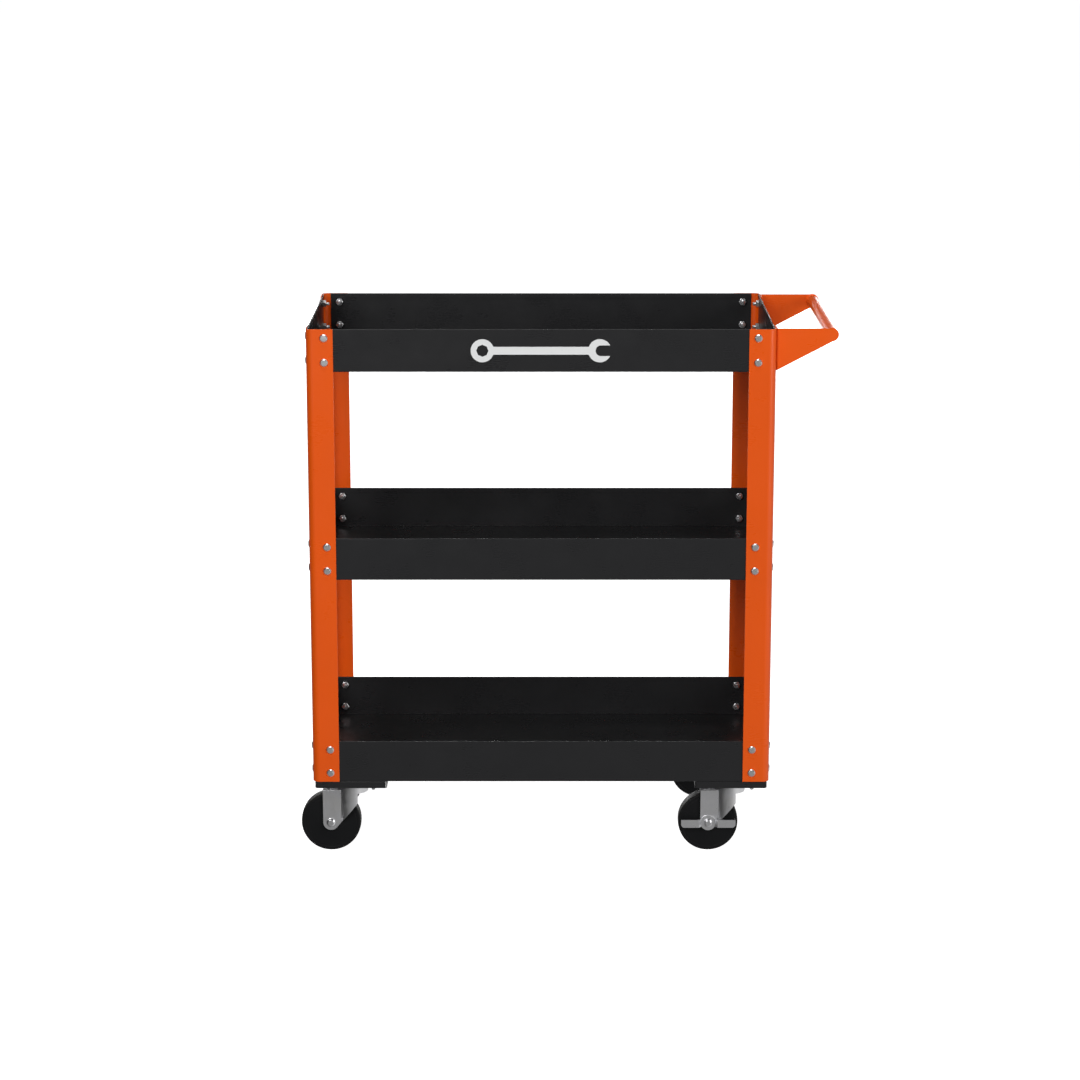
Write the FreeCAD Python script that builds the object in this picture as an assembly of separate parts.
"""Three-shelf rolling tool cart: pressed steel trays bolted to angle legs, a side push handle, four casters.

Millimetres, +Z up, +X towards the push handle, +Y towards the back. The origin is on the floor under the
middle of the cart's overall box, with every caster trailing towards -X. Inside this file the shapes are built
around the frame's own centre and moved to that origin as they are written.
"""
import FreeCAD, Part
import math
import os

# --- frame ---------------------------------------------------------------------------------------------
FRAME_LENGTH = 762.0  # outside of the legs, along X
FRAME_DEPTH = 402.0  # outside of the legs, along Y
LEG_BOTTOM = 134.2  # height of the legs' lower ends above the floor
LEG_LENGTH = 763.3
LEG_FLANGE = 44.5
LEG_SHEET = 1.5
LEG_CORNER_RADIUS = 12.0  # outside of the fold

# --- trays ---------------------------------------------------------------------------------------------
TRAY_SHEET = 1.0
TRAY_LIP_HEIGHT = 70.0
TRAY_CORNER_GAP = 13.1  # how far each lip stops short of the tray's corner
TRAY_HEM_DEPTH = 8.0  # lip edge folded back inside
TRAY_FLOOR_CORNER_RADIUS = 6.0
FOLD_INNER_RADIUS = 0.5  # every tray and pan fold

# --- tray fasteners (quarter-inch bolts) -----------------------------------------------------------------
BOLT_RADIUS = 3.175
BOLT_HEAD_RADIUS = 6.6
BOLT_HEAD_FLAT_RADIUS = 4.9
BOLT_HEAD_HEIGHT = 2.6
BOLT_HEAD_RIM = 1.0  # straight part of the head's side, below its bevel
BOLT_HOLE_RADIUS = 3.4
BOLT_INSET = 29.7  # from the frame's outer corner faces
BOLT_DROPS = (14.6, 54.7)  # below the lip's top edge
BOLT_TAIL = 5.6  # bolt end standing out of its nut
NUT_ACROSS_FLATS = 11.1
NUT_THICKNESS = 5.6
THREAD_PLAY = 0.03

# --- push handle ---------------------------------------------------------------------------------------
HANDLE_SHEET = 2.0
HANDLE_REACH = 90.3  # grip axis beyond the frame's end
HANDLE_TIP_RADIUS = 10.2
HANDLE_TOP_DROP = 0.5  # bracket's top edge below the legs' tops
HANDLE_INSET = 12.8  # bracket plates' outer faces from the frame's front and back
HANDLE_FLANGE = 32.0
HANDLE_SLOPE = 27.7  # lower edge, degrees above level
HANDLE_FOLD_RADIUS = 3.0
GRIP_RADIUS = 9.5
GRIP_WALL = 1.5

# --- caster pans ---------------------------------------------------------------------------------------
PAN_WIDTH = 120.0
PAN_HEIGHT = 12.2
PAN_SHEET = 1.5
PAN_END_INSET = 3.5  # pan's outer side from the frame's end
PAN_FRONT_INSET = 3.0  # pan's front and back from the frame's front and back

# --- casters -------------------------------------------------------------------------------------------
CASTER_X = 318.3  # kingpin axes
CASTER_Y = 145.7
CASTER_TRAIL = 36.2  # axle behind the kingpin
WHEEL_RADIUS = 50.5
WHEEL_WIDTH = 28.0
WHEEL_CROWN = 0.5  # tread edge lower than its middle
WHEEL_SHOULDER = 2.4
HUB_RADIUS = 12.0
HUB_WIDTH = 30.0
BUSHING_RADIUS = 6.0
RUNNING_CLEARANCE = 0.08
YOKE_SHEET = 2.5
YOKE_HALF_WIDTH = 18.0  # outside
YOKE_ROOF = 107.7  # top of the straight fork
YOKE_EDGE_RADIUS = 1.2  # along the fork's upper edges
YOKE_CUP_TOP = 119.5
YOKE_CUP_RADIUS = 26.0
YOKE_RIM = 103.0  # lower edge of the cup's free front
YOKE_END_RADIUS = 13.2  # round end about the axle
YOKE_SLOPE = 51.0  # lower edge from the axle up to the cup, degrees above level
YOKE_FRONT = 9.7  # where the side walls stop in front of the kingpin
YOKE_FRONT_ROUND = 5.0
AXLE_RADIUS = 4.0
AXLE_HEAD_RADIUS = 7.3
AXLE_HEAD_FLAT_RADIUS = 4.7
AXLE_HEAD_HEIGHT = 4.0
AXLE_HEAD_RIM = 2.2
AXLE_NUT_ACROSS_FLATS = 12.7
AXLE_NUT_THICKNESS = 6.6
AXLE_TAIL = 2.5
PLATE_LENGTH = 92.0
PLATE_WIDTH = 60.0
PLATE_SHEET = 2.5
PLATE_CORNER_RADIUS = 6.0
PLATE_BOLTS_X = 73.0
PLATE_BOLTS_Y = 44.5
PLATE_HOLE_RADIUS = 4.0
DISH_RADIUS = 25.5  # outside of the drawn dish and of the skirt that hides the race
DISH_SKIRT_SHEET = 1.5
SKIRT_CLEARANCE = 0.6  # between the skirt's lower edge and the yoke's cup
BALL_COUNT = 12
BALL_RADIUS = 2.45
BALL_PLAY = 0.05
BALL_CIRCLE_RADIUS = 14.5
RACE_GAP = 4.0  # between the yoke's cup and the dish
KINGPIN_RADIUS = 4.0
KINGPIN_HEAD_RADIUS = 7.5
KINGPIN_HEAD_HEIGHT = 3.0
STUD_TIP_HEIGHT = 110.3

# --- brake levers --------------------------------------------------------------------------------------
LEVER_SHEET = 2.0
LEVER_PLAY = 0.1  # on each side of its disc
LEVER_DISC_RADIUS = 13.0
LEVER_HALF_LENGTH = 45.9
LEVER_HEIGHT = 13.6
LEVER_STEP_START = 11.5  # from the axle to the start of each wing's joggle
LEVER_STEP_END = 15.5
LEVER_STEP = 6.0  # how far the wings stand proud of the disc
LEVER_CORNER_RADIUS = 6.0
LEVER_TAB_HEIGHT = 5.5
LEVER_TAB_GAP = 1.5  # between the tab and the wheel's face

# --- worked out from the sizes above -------------------------------------------------------------------
LEG_TOP = LEG_BOTTOM + LEG_LENGTH
TRAY_BOTTOMS = {
    "top": LEG_TOP - TRAY_LIP_HEIGHT,
    "middle": (LEG_TOP - TRAY_LIP_HEIGHT + LEG_BOTTOM) / 2,
    "bottom": LEG_BOTTOM,
}
TRAY_LENGTH = FRAME_LENGTH - 2 * LEG_SHEET
TRAY_DEPTH = FRAME_DEPTH - 2 * LEG_SHEET
HANDLE_TIP = FRAME_LENGTH / 2 + HANDLE_REACH + HANDLE_TIP_RADIUS
WHEEL_BACK = CASTER_X + CASTER_TRAIL + WHEEL_RADIUS
ORIGIN_X = (HANDLE_TIP - WHEEL_BACK) / 2  # middle of the overall box, from the frame's centre
PLATE_TOP = LEG_BOTTOM - PAN_SHEET
DISH_BOTTOM = YOKE_CUP_TOP + RACE_GAP
EDGE_TOLERANCE = 0.01  # for picking edges by their place
SIDES = {"left": -1, "right": 1}
ENDS = {"front": -1, "rear": 1}


# --- shape helpers -------------------------------------------------------------------------------------
def vec(x, y, z):
    return FreeCAD.Vector(x, y, z)


def box(low, high):
    """Block between two opposite corners."""
    return Part.makeBox(high[0] - low[0], high[1] - low[1], high[2] - low[2], vec(*low))


def bar(radius, start, end):
    """Round bar between two points."""
    axis = vec(*end) - vec(*start)
    return Part.makeCylinder(radius, axis.Length, vec(*start), axis)


def outline(*pieces):
    """Closed face from points, joined by straight lines; a (through, end) pair makes an arc instead."""
    edges = []
    here = pieces[0]
    for piece in pieces[1:]:
        if isinstance(piece, tuple):
            through, end = piece
            edges.append(Part.Arc(here, through, end).toShape())
        else:
            end = piece
            edges.append(Part.makeLine(here, end))
        here = end
    edges.append(Part.makeLine(here, pieces[0]))
    return Part.Face(Part.Wire(edges))


def arc_point(centre, radius, degrees, along_u, along_v):
    """Point on a circle in the plane of two unit vectors."""
    angle = math.radians(degrees)
    return centre + along_u * (radius * math.cos(angle)) + along_v * (radius * math.sin(angle))


def turned(profile):
    """Solid of revolution about +Z from (radius, height) points."""
    points = [vec(radius, 0, height) for radius, height in profile]
    return outline(*points).revolve(vec(0, 0, 0), vec(0, 0, 1), 360)


def aimed(shape, direction, position):
    """A shape built along +Z, turned to point along direction and moved to position."""
    result = shape.copy()
    result.Placement = FreeCAD.Placement(vec(*position), FreeCAD.Rotation(vec(0, 0, 1), vec(*direction)))
    return result


def mirrored(shape, flip_x, flip_y):
    """The shape reflected across the frame's mid-planes."""
    if flip_x:
        shape = shape.mirror(vec(0, 0, 0), vec(1, 0, 0))
    if flip_y:
        shape = shape.mirror(vec(0, 0, 0), vec(0, 1, 0))
    return shape


def drilled(shape, radius, centres, axis, depth):
    """The shape with round holes; each starts half its depth before its centre."""
    step = vec(*axis) * (depth / 2)
    holes = [bar(radius, tuple(vec(*c) - step), tuple(vec(*c) + step)) for c in centres]
    return shape.cut(holes)


# --- fasteners, built along +Z with the head below z = 0 and the joint starting at z = 0 ------------------
def domed_bolt(radius, head_radius, flat_radius, head_height, rim, length):
    """Bolt with a low round head that has a bevelled edge; its tip is chamfered."""
    tip = radius / 4
    return turned(
        (
            (0, -head_height),
            (flat_radius, -head_height),
            (head_radius, -rim),
            (head_radius, 0),
            (radius, 0),
            (radius, length - tip),
            (radius - tip, length),
            (0, length),
        )
    )


def hex_nut(across_flats, thickness, bore_radius):
    """Hexagon nut standing on z = 0, with both faces' corners chamfered at 30 degrees."""
    corner_radius = across_flats / 2 / math.cos(math.radians(30))
    flat_radius = across_flats / 2 * 0.95
    drop = (corner_radius - flat_radius) * math.tan(math.radians(30))
    corners = [arc_point(vec(0, 0, 0), corner_radius, 60 * i, vec(1, 0, 0), vec(0, 1, 0)) for i in range(6)]
    prism = outline(*corners).extrude(vec(0, 0, thickness))
    rounding = turned(
        (
            (0, 0),
            (flat_radius, 0),
            (corner_radius, drop),
            (corner_radius, thickness - drop),
            (flat_radius, thickness),
            (0, thickness),
        )
    )
    bore = bar(bore_radius, (0, 0, -1), (0, 0, thickness + 1))
    return prism.common(rounding).cut(bore)


def tray_bolt_sites(lip_top):
    """(outer face point, inward direction, extra sheet under the head) for the sixteen bolts of one tray."""
    half_length = FRAME_LENGTH / 2
    half_depth = FRAME_DEPTH / 2
    sites = []
    for drop in BOLT_DROPS:
        height = lip_top - drop
        for x_sign in (-1, 1):
            for y_sign in (-1, 1):
                front = (x_sign * (half_length - BOLT_INSET), y_sign * half_depth, height)
                side = (x_sign * half_length, y_sign * (half_depth - BOLT_INSET), height)
                sites.append((front, (0, -y_sign, 0), 0.0))
                holds_handle = x_sign > 0 and lip_top == LEG_TOP
                extra = HANDLE_SHEET if holds_handle else 0.0
                sites.append((side, (-x_sign, 0, 0), extra))
    return sites


def tray_fasteners(lip_top):
    """The bolts and the nuts that hold one tray to the legs, as two groups of solids."""
    bolts = []
    nuts = []
    for face_point, inward, extra in tray_bolt_sites(lip_top):
        grip = LEG_SHEET + TRAY_SHEET
        head_seat = vec(*face_point) - vec(*inward) * extra
        nut_seat = vec(*face_point) + vec(*inward) * grip
        length = extra + grip + NUT_THICKNESS + BOLT_TAIL
        bolt = domed_bolt(
            BOLT_RADIUS, BOLT_HEAD_RADIUS, BOLT_HEAD_FLAT_RADIUS, BOLT_HEAD_HEIGHT, BOLT_HEAD_RIM, length
        )
        nut = hex_nut(NUT_ACROSS_FLATS, NUT_THICKNESS, BOLT_RADIUS + THREAD_PLAY)
        bolts.append(aimed(bolt, inward, head_seat))
        nuts.append(aimed(nut, inward, nut_seat))
    return Part.makeCompound(bolts), Part.makeCompound(nuts)


# --- legs ----------------------------------------------------------------------------------------------
def leg_section():
    """The folded angle's section, outer corner at the origin, flanges along +X and +Y."""
    centre = vec(LEG_CORNER_RADIUS, LEG_CORNER_RADIUS, 0)
    inner_radius = LEG_CORNER_RADIUS - LEG_SHEET
    left = vec(-1, 0, 0)
    down = vec(0, -1, 0)
    return outline(
        vec(LEG_FLANGE, 0, 0),
        vec(LEG_CORNER_RADIUS, 0, 0),
        (arc_point(centre, LEG_CORNER_RADIUS, 45, left, down), vec(0, LEG_CORNER_RADIUS, 0)),
        vec(0, LEG_FLANGE, 0),
        vec(LEG_SHEET, LEG_FLANGE, 0),
        vec(LEG_SHEET, LEG_CORNER_RADIUS, 0),
        (arc_point(centre, inner_radius, 45, left, down), vec(LEG_CORNER_RADIUS, LEG_SHEET, 0)),
        vec(LEG_FLANGE, LEG_SHEET, 0),
    )


def front_left_leg():
    leg = leg_section().extrude(vec(0, 0, LEG_LENGTH))
    leg.translate(vec(-FRAME_LENGTH / 2, -FRAME_DEPTH / 2, LEG_BOTTOM))
    heights = [bottom + TRAY_LIP_HEIGHT - drop for bottom in TRAY_BOTTOMS.values() for drop in BOLT_DROPS]
    front_holes = [(-FRAME_LENGTH / 2 + BOLT_INSET, -FRAME_DEPTH / 2, height) for height in heights]
    side_holes = [(-FRAME_LENGTH / 2, -FRAME_DEPTH / 2 + BOLT_INSET, height) for height in heights]
    leg = drilled(leg, BOLT_HOLE_RADIUS, front_holes, (0, 1, 0), 4 * LEG_SHEET)
    return drilled(leg, BOLT_HOLE_RADIUS, side_holes, (1, 0, 0), 4 * LEG_SHEET)


# --- trays and pans --------------------------------------------------------------------------------------
def folded_lip(length, height, sheet, hem):
    """One folded edge along X: outer face on y = 0, sheet inside it on +Y, floor level on z = 0."""
    outer_radius = FOLD_INNER_RADIUS + sheet
    centre = vec(0, outer_radius, outer_radius)
    forward = vec(0, -1, 0)
    down = vec(0, 0, -1)
    if hem:
        edge = [
            vec(0, 0, height - sheet),
            (vec(0, sheet, height), vec(0, 2 * sheet, height - sheet)),
            vec(0, 2 * sheet, height - hem),
            vec(0, sheet, height - hem),
        ]
    else:
        edge = [vec(0, 0, height), vec(0, sheet, height)]
    section = outline(
        vec(0, outer_radius, 0),
        (arc_point(centre, outer_radius, 45, forward, down), vec(0, 0, outer_radius)),
        *edge,
        vec(0, sheet, outer_radius),
        (arc_point(centre, FOLD_INNER_RADIUS, 45, forward, down), vec(0, outer_radius, sheet)),
    )
    lip = section.extrude(vec(length, 0, 0))
    lip.translate(vec(-length / 2, 0, 0))
    return lip


def rounded_plate(length, width, sheet, corner_radius, bottom):
    """Flat plate centred on the Z axis with rounded corners."""
    plate = box((-length / 2, -width / 2, bottom), (length / 2, width / 2, bottom + sheet))
    if corner_radius:
        upright = [edge for edge in plate.Edges if abs(edge.BoundBox.ZLength - sheet) < EDGE_TOLERANCE]
        plate = plate.makeFillet(corner_radius, upright)
    return plate


def folded_pan(length, width, height, sheet, corner_gap, hem=0.0, floor_corner_radius=0.0):
    """Open pan centred on the origin with its floor's underside on z = 0; lips stop corner_gap short."""
    fold = FOLD_INNER_RADIUS + sheet
    floor = rounded_plate(length - 2 * fold, width - 2 * fold, sheet, floor_corner_radius, 0)
    lips = []
    for quarter in range(4):
        along, across = (length, width) if quarter % 2 == 0 else (width, length)
        lip = folded_lip(along - 2 * corner_gap, height, sheet, hem)
        lip.translate(vec(0, -across / 2, 0))
        lip.rotate(vec(0, 0, 0), vec(0, 0, 1), 90 * quarter)
        lips.append(lip)
    return floor.fuse(lips).removeSplitter()


def tray(bottom):
    pan = folded_pan(
        TRAY_LENGTH,
        TRAY_DEPTH,
        TRAY_LIP_HEIGHT,
        TRAY_SHEET,
        TRAY_CORNER_GAP,
        TRAY_HEM_DEPTH,
        TRAY_FLOOR_CORNER_RADIUS,
    )
    pan.translate(vec(0, 0, bottom))
    for face_point, inward, _ in tray_bolt_sites(bottom + TRAY_LIP_HEIGHT):
        pan = drilled(pan, BOLT_HOLE_RADIUS, [face_point], inward, 4 * (LEG_SHEET + TRAY_SHEET))
    return pan


def caster_pan(side):
    """Inverted pan welded under the bottom tray, across one end of the cart."""
    depth = FRAME_DEPTH - 2 * PAN_FRONT_INSET
    pan = folded_pan(PAN_WIDTH, depth, PAN_HEIGHT, PAN_SHEET, FOLD_INNER_RADIUS + PAN_SHEET)
    pan.rotate(vec(0, 0, 0), vec(1, 0, 0), 180)
    centre = side * (FRAME_LENGTH / 2 - PAN_END_INSET - PAN_WIDTH / 2)
    pan.translate(vec(centre, 0, LEG_BOTTOM))
    return pan


# --- push handle ---------------------------------------------------------------------------------------
def rear_handle_bracket():
    """Triangular plate with a flange folded inwards against the rear right leg."""
    start = FRAME_LENGTH / 2
    outer = FRAME_DEPTH / 2 - HANDLE_INSET
    top = LEG_TOP - HANDLE_TOP_DROP
    inner_radius = HANDLE_FOLD_RADIUS - HANDLE_SHEET
    fold_centre = vec(start + HANDLE_FOLD_RADIUS, outer - HANDLE_FOLD_RADIUS, 0)
    left = vec(-1, 0, 0)
    back = vec(0, 1, 0)
    section = outline(
        vec(start, outer - HANDLE_FLANGE, 0),
        vec(start, outer - HANDLE_FOLD_RADIUS, 0),
        (
            arc_point(fold_centre, HANDLE_FOLD_RADIUS, 45, left, back),
            vec(start + HANDLE_FOLD_RADIUS, outer, 0),
        ),
        vec(HANDLE_TIP, outer, 0),
        vec(HANDLE_TIP, outer - HANDLE_SHEET, 0),
        vec(start + HANDLE_FOLD_RADIUS, outer - HANDLE_SHEET, 0),
        (
            arc_point(fold_centre, inner_radius, 45, left, back),
            vec(start + HANDLE_SHEET, outer - HANDLE_FOLD_RADIUS, 0),
        ),
        vec(start + HANDLE_SHEET, outer - HANDLE_FLANGE, 0),
    )
    folded = section.extrude(vec(0, 0, top))

    slope = math.radians(HANDLE_SLOPE)
    tip_centre = vec(start + HANDLE_REACH, 0, top - HANDLE_TIP_RADIUS)
    right = vec(1, 0, 0)
    up = vec(0, 0, 1)
    tangent = arc_point(tip_centre, HANDLE_TIP_RADIUS, HANDLE_SLOPE - 90, right, up)
    lowest = tangent.z - (tangent.x - start) * math.tan(slope)
    silhouette = outline(
        vec(start, 0, top),
        vec(tip_centre.x, 0, top),
        (tip_centre + right * HANDLE_TIP_RADIUS, tangent),
        vec(start, 0, lowest),
    ).extrude(vec(0, FRAME_DEPTH, 0))
    bracket = folded.common(silhouette)
    holes = [(start, FRAME_DEPTH / 2 - BOLT_INSET, LEG_TOP - drop) for drop in BOLT_DROPS]
    return drilled(bracket, BOLT_HOLE_RADIUS, holes, (1, 0, 0), 4 * HANDLE_SHEET)


def handle_grip():
    x = FRAME_LENGTH / 2 + HANDLE_REACH
    z = LEG_TOP - HANDLE_TOP_DROP - HANDLE_TIP_RADIUS
    half = FRAME_DEPTH / 2 - HANDLE_INSET - HANDLE_SHEET
    tube = bar(GRIP_RADIUS, (x, -half, z), (x, half, z))
    return tube.cut(bar(GRIP_RADIUS - GRIP_WALL, (x, -half, z), (x, half, z)))


# --- casters, built about the kingpin axis with the floor on z = 0 and the axle bolt's head towards -Y ------
def ball_groove():
    """Ring that both races are cut with."""
    ring = Part.makeTorus(BALL_CIRCLE_RADIUS, BALL_RADIUS + BALL_PLAY)
    ring.translate(vec(0, 0, YOKE_CUP_TOP + RACE_GAP / 2))
    return ring


def plate_hole_centres(height):
    signs = [(i, j) for i in (-1, 1) for j in (-1, 1)]
    return [(i * PLATE_BOLTS_X / 2, j * PLATE_BOLTS_Y / 2, height) for i, j in signs]


def caster_plate():
    """Top plate with a drawn dish for the upper race; the dish's skirt covers the gap above the cup."""
    bottom = PLATE_TOP - PLATE_SHEET
    plate = rounded_plate(PLATE_LENGTH, PLATE_WIDTH, PLATE_SHEET, PLATE_CORNER_RADIUS, bottom)
    dish = bar(DISH_RADIUS, (0, 0, YOKE_CUP_TOP + SKIRT_CLEARANCE), (0, 0, PLATE_TOP))
    hollow = bar(DISH_RADIUS - PLATE_SHEET, (0, 0, DISH_BOTTOM + PLATE_SHEET), (0, 0, PLATE_TOP))
    skirt_inside = bar(DISH_RADIUS - DISH_SKIRT_SHEET, (0, 0, YOKE_CUP_TOP), (0, 0, DISH_BOTTOM))
    pin_hole = bar(KINGPIN_RADIUS, (0, 0, DISH_BOTTOM - 1), (0, 0, PLATE_TOP))
    plate = plate.fuse(dish).cut([hollow, skirt_inside, pin_hole, ball_groove()])
    return drilled(plate, PLATE_HOLE_RADIUS, plate_hole_centres(bottom), (0, 0, 1), 4 * PLATE_SHEET)


def kingpin():
    """Rivet fixed in the dish, with its lower head just clear of the yoke."""
    head_top = YOKE_CUP_TOP - YOKE_SHEET - RUNNING_CLEARANCE
    dish_floor = DISH_BOTTOM + PLATE_SHEET
    rounding = KINGPIN_HEAD_HEIGHT / 2
    return turned(
        (
            (0, head_top - KINGPIN_HEAD_HEIGHT),
            (KINGPIN_HEAD_RADIUS - rounding, head_top - KINGPIN_HEAD_HEIGHT),
            (KINGPIN_HEAD_RADIUS, head_top - rounding),
            (KINGPIN_HEAD_RADIUS, head_top),
            (KINGPIN_RADIUS, head_top),
            (KINGPIN_RADIUS, dish_floor),
            (KINGPIN_HEAD_RADIUS, dish_floor),
            (KINGPIN_HEAD_RADIUS, dish_floor + rounding),
            (KINGPIN_HEAD_RADIUS - rounding, dish_floor + KINGPIN_HEAD_HEIGHT),
            (0, dish_floor + KINGPIN_HEAD_HEIGHT),
        )
    )


def race_balls():
    ring_height = YOKE_CUP_TOP + RACE_GAP / 2
    centre = vec(0, 0, ring_height)
    balls = []
    for i in range(BALL_COUNT):
        place = arc_point(centre, BALL_CIRCLE_RADIUS, 360 / BALL_COUNT * i, vec(1, 0, 0), vec(0, 1, 0))
        balls.append(Part.makeSphere(BALL_RADIUS, place))
    return Part.makeCompound(balls)


def yoke_blank(half_width, cup_radius, back, bottom, roof, cup_top, edge_radius=0.0, cup_edge_radius=0.0):
    """Straight fork joined to a taller round cup, as one block."""
    fork = box((back, -half_width, bottom), (0, half_width, roof))
    cup = bar(cup_radius, (0, 0, bottom), (0, 0, cup_top))
    if edge_radius:
        highest = [edge for edge in fork.Edges if edge.BoundBox.ZMin > roof - EDGE_TOLERANCE]
        upper = [edge for edge in highest if edge.BoundBox.XLength > half_width]
        fork = fork.makeFillet(edge_radius, upper)
        rounded = [edge for edge in cup.Edges if edge.BoundBox.ZMin > cup_top - EDGE_TOLERANCE]
        cup = cup.makeFillet(cup_edge_radius, rounded)
    return fork.fuse(cup).removeSplitter()


def yoke_silhouette():
    """Side view of the yoke, as a slab across its width."""
    back = -CASTER_TRAIL - YOKE_END_RADIUS
    axle = vec(-CASTER_TRAIL, 0, WHEEL_RADIUS)
    right = vec(1, 0, 0)
    up = vec(0, 0, 1)
    tangent = arc_point(axle, YOKE_END_RADIUS, YOKE_SLOPE - 90, right, up)
    corner = tangent.z + (YOKE_FRONT - tangent.x) * math.tan(math.radians(YOKE_SLOPE))
    face = outline(
        vec(back, 0, YOKE_CUP_TOP),
        vec(back, 0, WHEEL_RADIUS),
        (axle - up * YOKE_END_RADIUS, tangent),
        vec(YOKE_FRONT, 0, corner),
        vec(YOKE_FRONT, 0, YOKE_RIM),
        vec(YOKE_CUP_RADIUS, 0, YOKE_RIM),
        vec(YOKE_CUP_RADIUS, 0, YOKE_CUP_TOP),
    )
    face.translate(vec(0, -YOKE_CUP_RADIUS, 0))
    slab = face.extrude(vec(0, 2 * YOKE_CUP_RADIUS, 0))
    corner_edges = [
        edge
        for edge in slab.Edges
        if edge.BoundBox.YLength > YOKE_CUP_RADIUS
        and abs(edge.BoundBox.XMin - YOKE_FRONT) < EDGE_TOLERANCE
        and abs(edge.BoundBox.ZMin - corner) < EDGE_TOLERANCE
    ]
    return slab.makeFillet(YOKE_FRONT_ROUND, corner_edges)


def yoke():
    """Pressed fork and cup, with the lower race in its top and the axle's holes in its sides."""
    back = -CASTER_TRAIL - YOKE_END_RADIUS
    low = WHEEL_RADIUS - YOKE_END_RADIUS
    outer = yoke_blank(
        YOKE_HALF_WIDTH, YOKE_CUP_RADIUS, back, low, YOKE_ROOF, YOKE_CUP_TOP, YOKE_EDGE_RADIUS, YOKE_SHEET
    )
    inside = yoke_blank(
        YOKE_HALF_WIDTH - YOKE_SHEET,
        YOKE_CUP_RADIUS - YOKE_SHEET,
        back - 1,
        low - 1,
        YOKE_ROOF - YOKE_SHEET,
        YOKE_CUP_TOP - YOKE_SHEET,
    )
    shell = outer.cut(inside).common(yoke_silhouette())
    pin_hole = bar(KINGPIN_RADIUS + RUNNING_CLEARANCE, (0, 0, low), (0, 0, YOKE_CUP_TOP + 1))
    axle_hole = bar(
        AXLE_RADIUS + RUNNING_CLEARANCE,
        (-CASTER_TRAIL, -YOKE_HALF_WIDTH - 1, WHEEL_RADIUS),
        (-CASTER_TRAIL, YOKE_HALF_WIDTH + 1, WHEEL_RADIUS),
    )
    return shell.cut([ball_groove(), pin_hole, axle_hole])


def along_axle(shape, y):
    """A shape built along +Z, laid on the axle with its z = 0 at y and pointing to +Y."""
    return aimed(shape, (0, 1, 0), (-CASTER_TRAIL, y, WHEEL_RADIUS))


def wheel():
    """Solid wheel with a slightly crowned tread, round shoulders, a raised hub and a bore."""
    bore = BUSHING_RADIUS + RUNNING_CLEARANCE
    face = WHEEL_WIDTH / 2
    hub = HUB_WIDTH / 2
    edge_radius = WHEEL_RADIUS - WHEEL_CROWN
    shoulder = WHEEL_SHOULDER
    out = vec(1, 0, 0)
    along = vec(0, 0, 1)
    left_shoulder = arc_point(vec(edge_radius - shoulder, 0, shoulder - face), shoulder, -45, out, along)
    right_shoulder = arc_point(vec(edge_radius - shoulder, 0, face - shoulder), shoulder, 45, out, along)
    section = outline(
        vec(bore, 0, -hub),
        vec(HUB_RADIUS, 0, -hub),
        vec(HUB_RADIUS, 0, -face),
        vec(edge_radius - shoulder, 0, -face),
        (left_shoulder, vec(edge_radius, 0, shoulder - face)),
        (vec(WHEEL_RADIUS, 0, 0), vec(edge_radius, 0, face - shoulder)),
        (right_shoulder, vec(edge_radius - shoulder, 0, face)),
        vec(HUB_RADIUS, 0, face),
        vec(HUB_RADIUS, 0, hub),
        vec(bore, 0, hub),
    )
    return along_axle(section.revolve(vec(0, 0, 0), vec(0, 0, 1), 360), 0)


def wheel_bushing():
    """Spacer tube clamped between the yoke's sides, which the wheel turns on."""
    half = YOKE_HALF_WIDTH - YOKE_SHEET
    tube = bar(BUSHING_RADIUS, (0, 0, -half), (0, 0, half))
    bore = bar(AXLE_RADIUS + RUNNING_CLEARANCE, (0, 0, -half - 1), (0, 0, half + 1))
    return along_axle(tube.cut(bore), 0)


def axle_bolt(braked):
    start = YOKE_HALF_WIDTH + (LEVER_SHEET + 2 * LEVER_PLAY if braked else 0.0)
    length = start + YOKE_HALF_WIDTH + AXLE_NUT_THICKNESS + AXLE_TAIL
    bolt = domed_bolt(
        AXLE_RADIUS, AXLE_HEAD_RADIUS, AXLE_HEAD_FLAT_RADIUS, AXLE_HEAD_HEIGHT, AXLE_HEAD_RIM, length
    )
    return along_axle(bolt, -start)


def axle_nut():
    nut = hex_nut(AXLE_NUT_ACROSS_FLATS, AXLE_NUT_THICKNESS, AXLE_RADIUS + THREAD_PLAY)
    return along_axle(nut, YOKE_HALF_WIDTH)


def lever_section():
    """The lever's joggled sheet seen from above, centred on the axle, its disc's back face on y = 0."""
    def side_points(offset, sign):
        near = vec(sign * LEVER_STEP_START, offset, 0)
        far = vec(sign * LEVER_STEP_END, offset - LEVER_STEP, 0)
        end = vec(sign * LEVER_HALF_LENGTH, offset - LEVER_STEP, 0)
        return [near, far, end]

    back = side_points(0, -1)[::-1] + side_points(0, 1)
    front = side_points(-LEVER_SHEET, 1)[::-1] + side_points(-LEVER_SHEET, -1)
    return outline(*back, *front)


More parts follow.
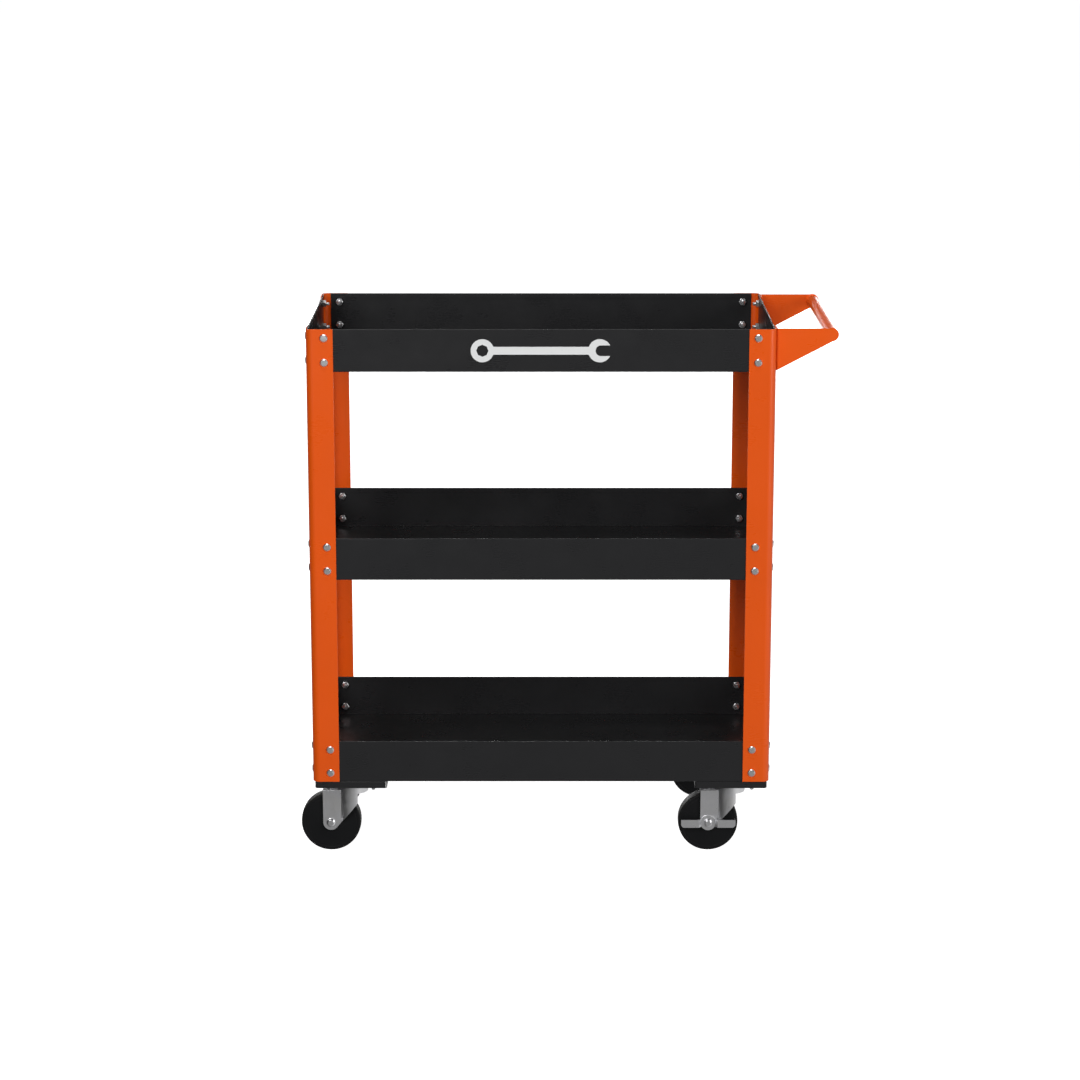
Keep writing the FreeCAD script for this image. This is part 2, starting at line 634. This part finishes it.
def brake_lever():
    """Double-winged lever on the axle bolt; a tab at its pedal end reaches in beside the wheel."""
    half_height = LEVER_HEIGHT / 2
    joggled = lever_section().extrude(vec(0, 0, LEVER_HEIGHT))
    joggled.translate(vec(0, 0, -half_height))
    lower_corners = [
        edge
        for edge in joggled.Edges
        if abs(abs(edge.CenterOfMass.x) - LEVER_HALF_LENGTH) < EDGE_TOLERANCE
        and abs(edge.CenterOfMass.z + half_height) < EDGE_TOLERANCE
        and edge.BoundBox.YLength > LEVER_SHEET / 2
    ]
    wings = joggled.makeFillet(LEVER_CORNER_RADIUS, lower_corners)
    disc = bar(LEVER_DISC_RADIUS, (0, -LEVER_SHEET, 0), (0, 0, 0))
    tab_end = YOKE_HALF_WIDTH + LEVER_PLAY - WHEEL_WIDTH / 2 - LEVER_TAB_GAP
    tab = box(
        (LEVER_HALF_LENGTH - LEVER_SHEET, -LEVER_STEP, half_height - LEVER_TAB_HEIGHT),
        (LEVER_HALF_LENGTH, tab_end, half_height),
    )
    lever = wings.fuse([disc, tab]).removeSplitter()
    bore = bar(AXLE_RADIUS + RUNNING_CLEARANCE, (0, -2 * LEVER_SHEET, 0), (0, LEVER_SHEET, 0))
    lever = lever.cut(bore)
    lever.translate(vec(-CASTER_TRAIL, -YOKE_HALF_WIDTH - LEVER_PLAY, WHEEL_RADIUS))
    return lever


def plate_studs():
    """Four studs welded to the pan's underside, reaching down through one caster plate."""
    tip = BOLT_RADIUS / 4
    length = PLATE_TOP - STUD_TIP_HEIGHT
    stud = turned(
        ((0, 0), (BOLT_RADIUS, 0), (BOLT_RADIUS, length - tip), (BOLT_RADIUS - tip, length), (0, length))
    )
    return [aimed(stud, (0, 0, -1), centre) for centre in plate_hole_centres(PLATE_TOP)]


def plate_nuts():
    nut = hex_nut(NUT_ACROSS_FLATS, NUT_THICKNESS, BOLT_RADIUS + THREAD_PLAY)
    return [aimed(nut, (0, 0, -1), centre) for centre in plate_hole_centres(PLATE_TOP - PLATE_SHEET)]


def placed_caster(shape, side, end):
    """A caster piece moved to its corner; rear casters are mirrored, so their bolt heads face the back."""
    shape = mirrored(shape, False, end > 0)
    return shape.translated(vec(side * CASTER_X, end * CASTER_Y, 0))


def caster_nodes():
    """Every node of the four casters, and the studs and nuts that hold them."""
    nodes = {}
    studs = []
    nuts = []
    for end_name, end in ENDS.items():
        for side_name, side in SIDES.items():
            braked = side_name == "right"
            pieces = {
                "caster_plate": caster_plate(),
                "kingpin": kingpin(),
                "race_balls": race_balls(),
                "yoke": yoke(),
                "axle_bolt": axle_bolt(braked),
                "axle_nut": axle_nut(),
                "wheel_bushing": wheel_bushing(),
                "wheel": wheel(),
            }
            if braked:
                pieces["brake_lever"] = brake_lever()
            for name, shape in pieces.items():
                nodes[f"{name}_{end_name}_{side_name}"] = placed_caster(shape, side, end)
            studs += [placed_caster(stud, side, end) for stud in plate_studs()]
            nuts += [placed_caster(nut, side, end) for nut in plate_nuts()]
    nodes["caster_studs"] = Part.makeCompound(studs)
    nodes["caster_nuts"] = Part.makeCompound(nuts)
    return nodes


def frame_nodes():
    """Legs, trays with their fasteners, pans and push handle."""
    nodes = {}
    leg = front_left_leg()
    for end_name, end in ENDS.items():
        for side_name, side in SIDES.items():
            nodes[f"leg_{end_name}_{side_name}"] = mirrored(leg, side > 0, end > 0)
    for level, bottom in TRAY_BOTTOMS.items():
        bolts, nuts = tray_fasteners(bottom + TRAY_LIP_HEIGHT)
        nodes[f"tray_{level}"] = tray(bottom)
        nodes[f"tray_bolts_{level}"] = bolts
        nodes[f"tray_nuts_{level}"] = nuts
    for side_name, side in SIDES.items():
        nodes[f"caster_pan_{side_name}"] = caster_pan(side)
    bracket = rear_handle_bracket()
    nodes["handle_bracket_rear"] = bracket
    nodes["handle_bracket_front"] = mirrored(bracket, False, True)
    nodes["handle_grip"] = handle_grip()
    return nodes


def main():
    os.makedirs("parts", exist_ok=True)
    for name, shape in {**frame_nodes(), **caster_nodes()}.items():
        shape.translated(vec(-ORIGIN_X, 0, 0)).exportStep(f"parts/{name}.step")


main()
